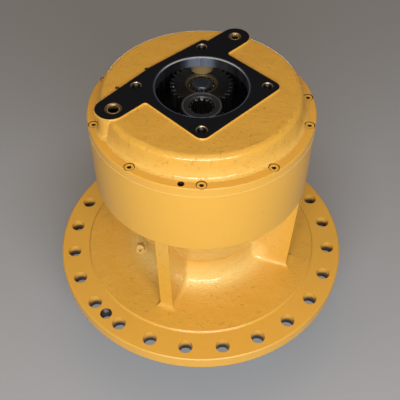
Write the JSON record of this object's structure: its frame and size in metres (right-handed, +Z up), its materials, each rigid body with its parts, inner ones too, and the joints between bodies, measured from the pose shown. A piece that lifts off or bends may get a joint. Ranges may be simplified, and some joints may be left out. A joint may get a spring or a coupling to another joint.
{
  "type": "swing drive",
  "caption": "Upright slewing gearbox: round bolted flange, ribbed neck, drum and cover with a motor pad, two planetary stages, pinion below.",
  "frame": {"origin": "centre of the frame bolt circle, on the mounting face under the flange", "axes": "+Z up along the output shaft towards the motor pad; the picture looks along +Y with +X to the right"},
  "size_m": [0.49, 0.4898, 0.5004],
  "materials": {
    "yellow_casting": "yellow paint on iron casting, satin on machined faces",
    "gear_steel": "ground and oiled",
    "bearing_steel": "ground bright",
    "carrier_iron": "machined",
    "thrust_bronze": "turned bronze",
    "sleeve_steel": "phosphated, edges bright",
    "seal_rubber": "matt"
  },
  "bodies": {
    "gearbox": {"housing": "yellow_casting", "neck_port_plug": "yellow_casting", "cover": "yellow_casting", "cover_screws": "yellow_casting", "cover_seal": "seal_rubber", "left_dowel_sleeve": "sleeve_steel", "right_dowel_sleeve": "sleeve_steel", "ring_gear": "gear_steel", "ring_gear_dowels": "gear_steel", "upper_bearing_outer_race": "bearing_steel", "lower_bearing_outer_race": "bearing_steel", "lower_bearing_retaining_ring": "bearing_steel", "shaft_seal": "seal_rubber"},
    "output": {"second_carrier": "carrier_iron", "second_planet_pins": "gear_steel", "second_thrust_washers": "thrust_bronze", "output_pinion_shaft": "gear_steel", "shaft_retaining_ring": "bearing_steel", "upper_bearing_inner_race": "bearing_steel", "upper_bearing_rollers": "bearing_steel", "lower_bearing_inner_race": "bearing_steel", "lower_bearing_rollers": "bearing_steel"},
    "first_carrier_group": {"first_carrier": "carrier_iron", "first_planet_pins": "gear_steel", "first_planet_inner_races": "bearing_steel", "first_thrust_washers": "thrust_bronze", "second_sun_gear": "gear_steel", "second_sun_retaining_rings": "bearing_steel", "input_thrust_button": "thrust_bronze"},
    "input_sun": {"input_sun_gear": "gear_steel"},
    "first_planet_1": {"first_planet_gear_1": "gear_steel", "first_planet_outer_race_1": "bearing_steel", "first_planet_rollers_1": "bearing_steel"},
    "second_planet_1": {"second_planet_gear_1": "gear_steel", "second_planet_bearing_1": "bearing_steel"},
    "first_planet_2": {"first_planet_gear_2": "gear_steel", "first_planet_outer_race_2": "bearing_steel", "first_planet_rollers_2": "bearing_steel"},
    "second_planet_2": {"second_planet_gear_2": "gear_steel", "second_planet_bearing_2": "bearing_steel"},
    "first_planet_3": {"first_planet_gear_3": "gear_steel", "first_planet_outer_race_3": "bearing_steel", "first_planet_rollers_3": "bearing_steel"},
    "second_planet_3": {"second_planet_gear_3": "gear_steel", "second_planet_bearing_3": "bearing_steel"}
  },
  "joints": [
    {"name": "output_turn", "type": "hinge", "parent": "gearbox", "child": "output", "pos_m": [0, 0, 0], "axis": [0, 0, 1], "continuous": true},
    {"name": "first_carrier_turn", "type": "hinge", "parent": "gearbox", "child": "first_carrier_group", "pos_m": [0, 0, 0], "axis": [0, 0, 1], "continuous": true},
    {"name": "input_turn", "type": "hinge", "parent": "gearbox", "child": "input_sun", "pos_m": [0, 0, 0], "axis": [0, 0, 1], "continuous": true},
    {"name": "first_planet_1_turn", "type": "hinge", "parent": "first_carrier_group", "child": "first_planet_1", "pos_m": [0, 0.0765, 0.288], "axis": [0, 0, 1], "continuous": true},
    {"name": "second_planet_1_turn", "type": "hinge", "parent": "output", "child": "second_planet_1", "pos_m": [0, 0.081, 0.2235], "axis": [0, 0, 1], "continuous": true},
    {"name": "first_planet_2_turn", "type": "hinge", "parent": "first_carrier_group", "child": "first_planet_2", "pos_m": [-0.06625, -0.03825, 0.288], "axis": [0, 0, 1], "continuous": true},
    {"name": "second_planet_2_turn", "type": "hinge", "parent": "output", "child": "second_planet_2", "pos_m": [-0.07015, -0.0405, 0.2235], "axis": [0, 0, 1], "continuous": true},
    {"name": "first_planet_3_turn", "type": "hinge", "parent": "first_carrier_group", "child": "first_planet_3", "pos_m": [0.06625, -0.03825, 0.288], "axis": [0, 0, 1], "continuous": true},
    {"name": "second_planet_3_turn", "type": "hinge", "parent": "output", "child": "second_planet_3", "pos_m": [0.07015, -0.0405, 0.2235], "axis": [0, 0, 1], "continuous": true}
  ],
  "couplings": [
    {"joint": "first_carrier_turn", "follows": "output_turn", "ratio": 4.1538},
    {"joint": "input_turn", "follows": "output_turn", "ratio": 21.185},
    {"joint": "first_planet_1_turn", "follows": "output_turn", "ratio": -10.988},
    {"joint": "second_planet_1_turn", "follows": "output_turn", "ratio": -2.9286},
    {"joint": "first_planet_2_turn", "follows": "output_turn", "ratio": -10.988},
    {"joint": "second_planet_2_turn", "follows": "output_turn", "ratio": -2.9286},
    {"joint": "first_planet_3_turn", "follows": "output_turn", "ratio": -10.988},
    {"joint": "second_planet_3_turn", "follows": "output_turn", "ratio": -2.9286}
  ]
}
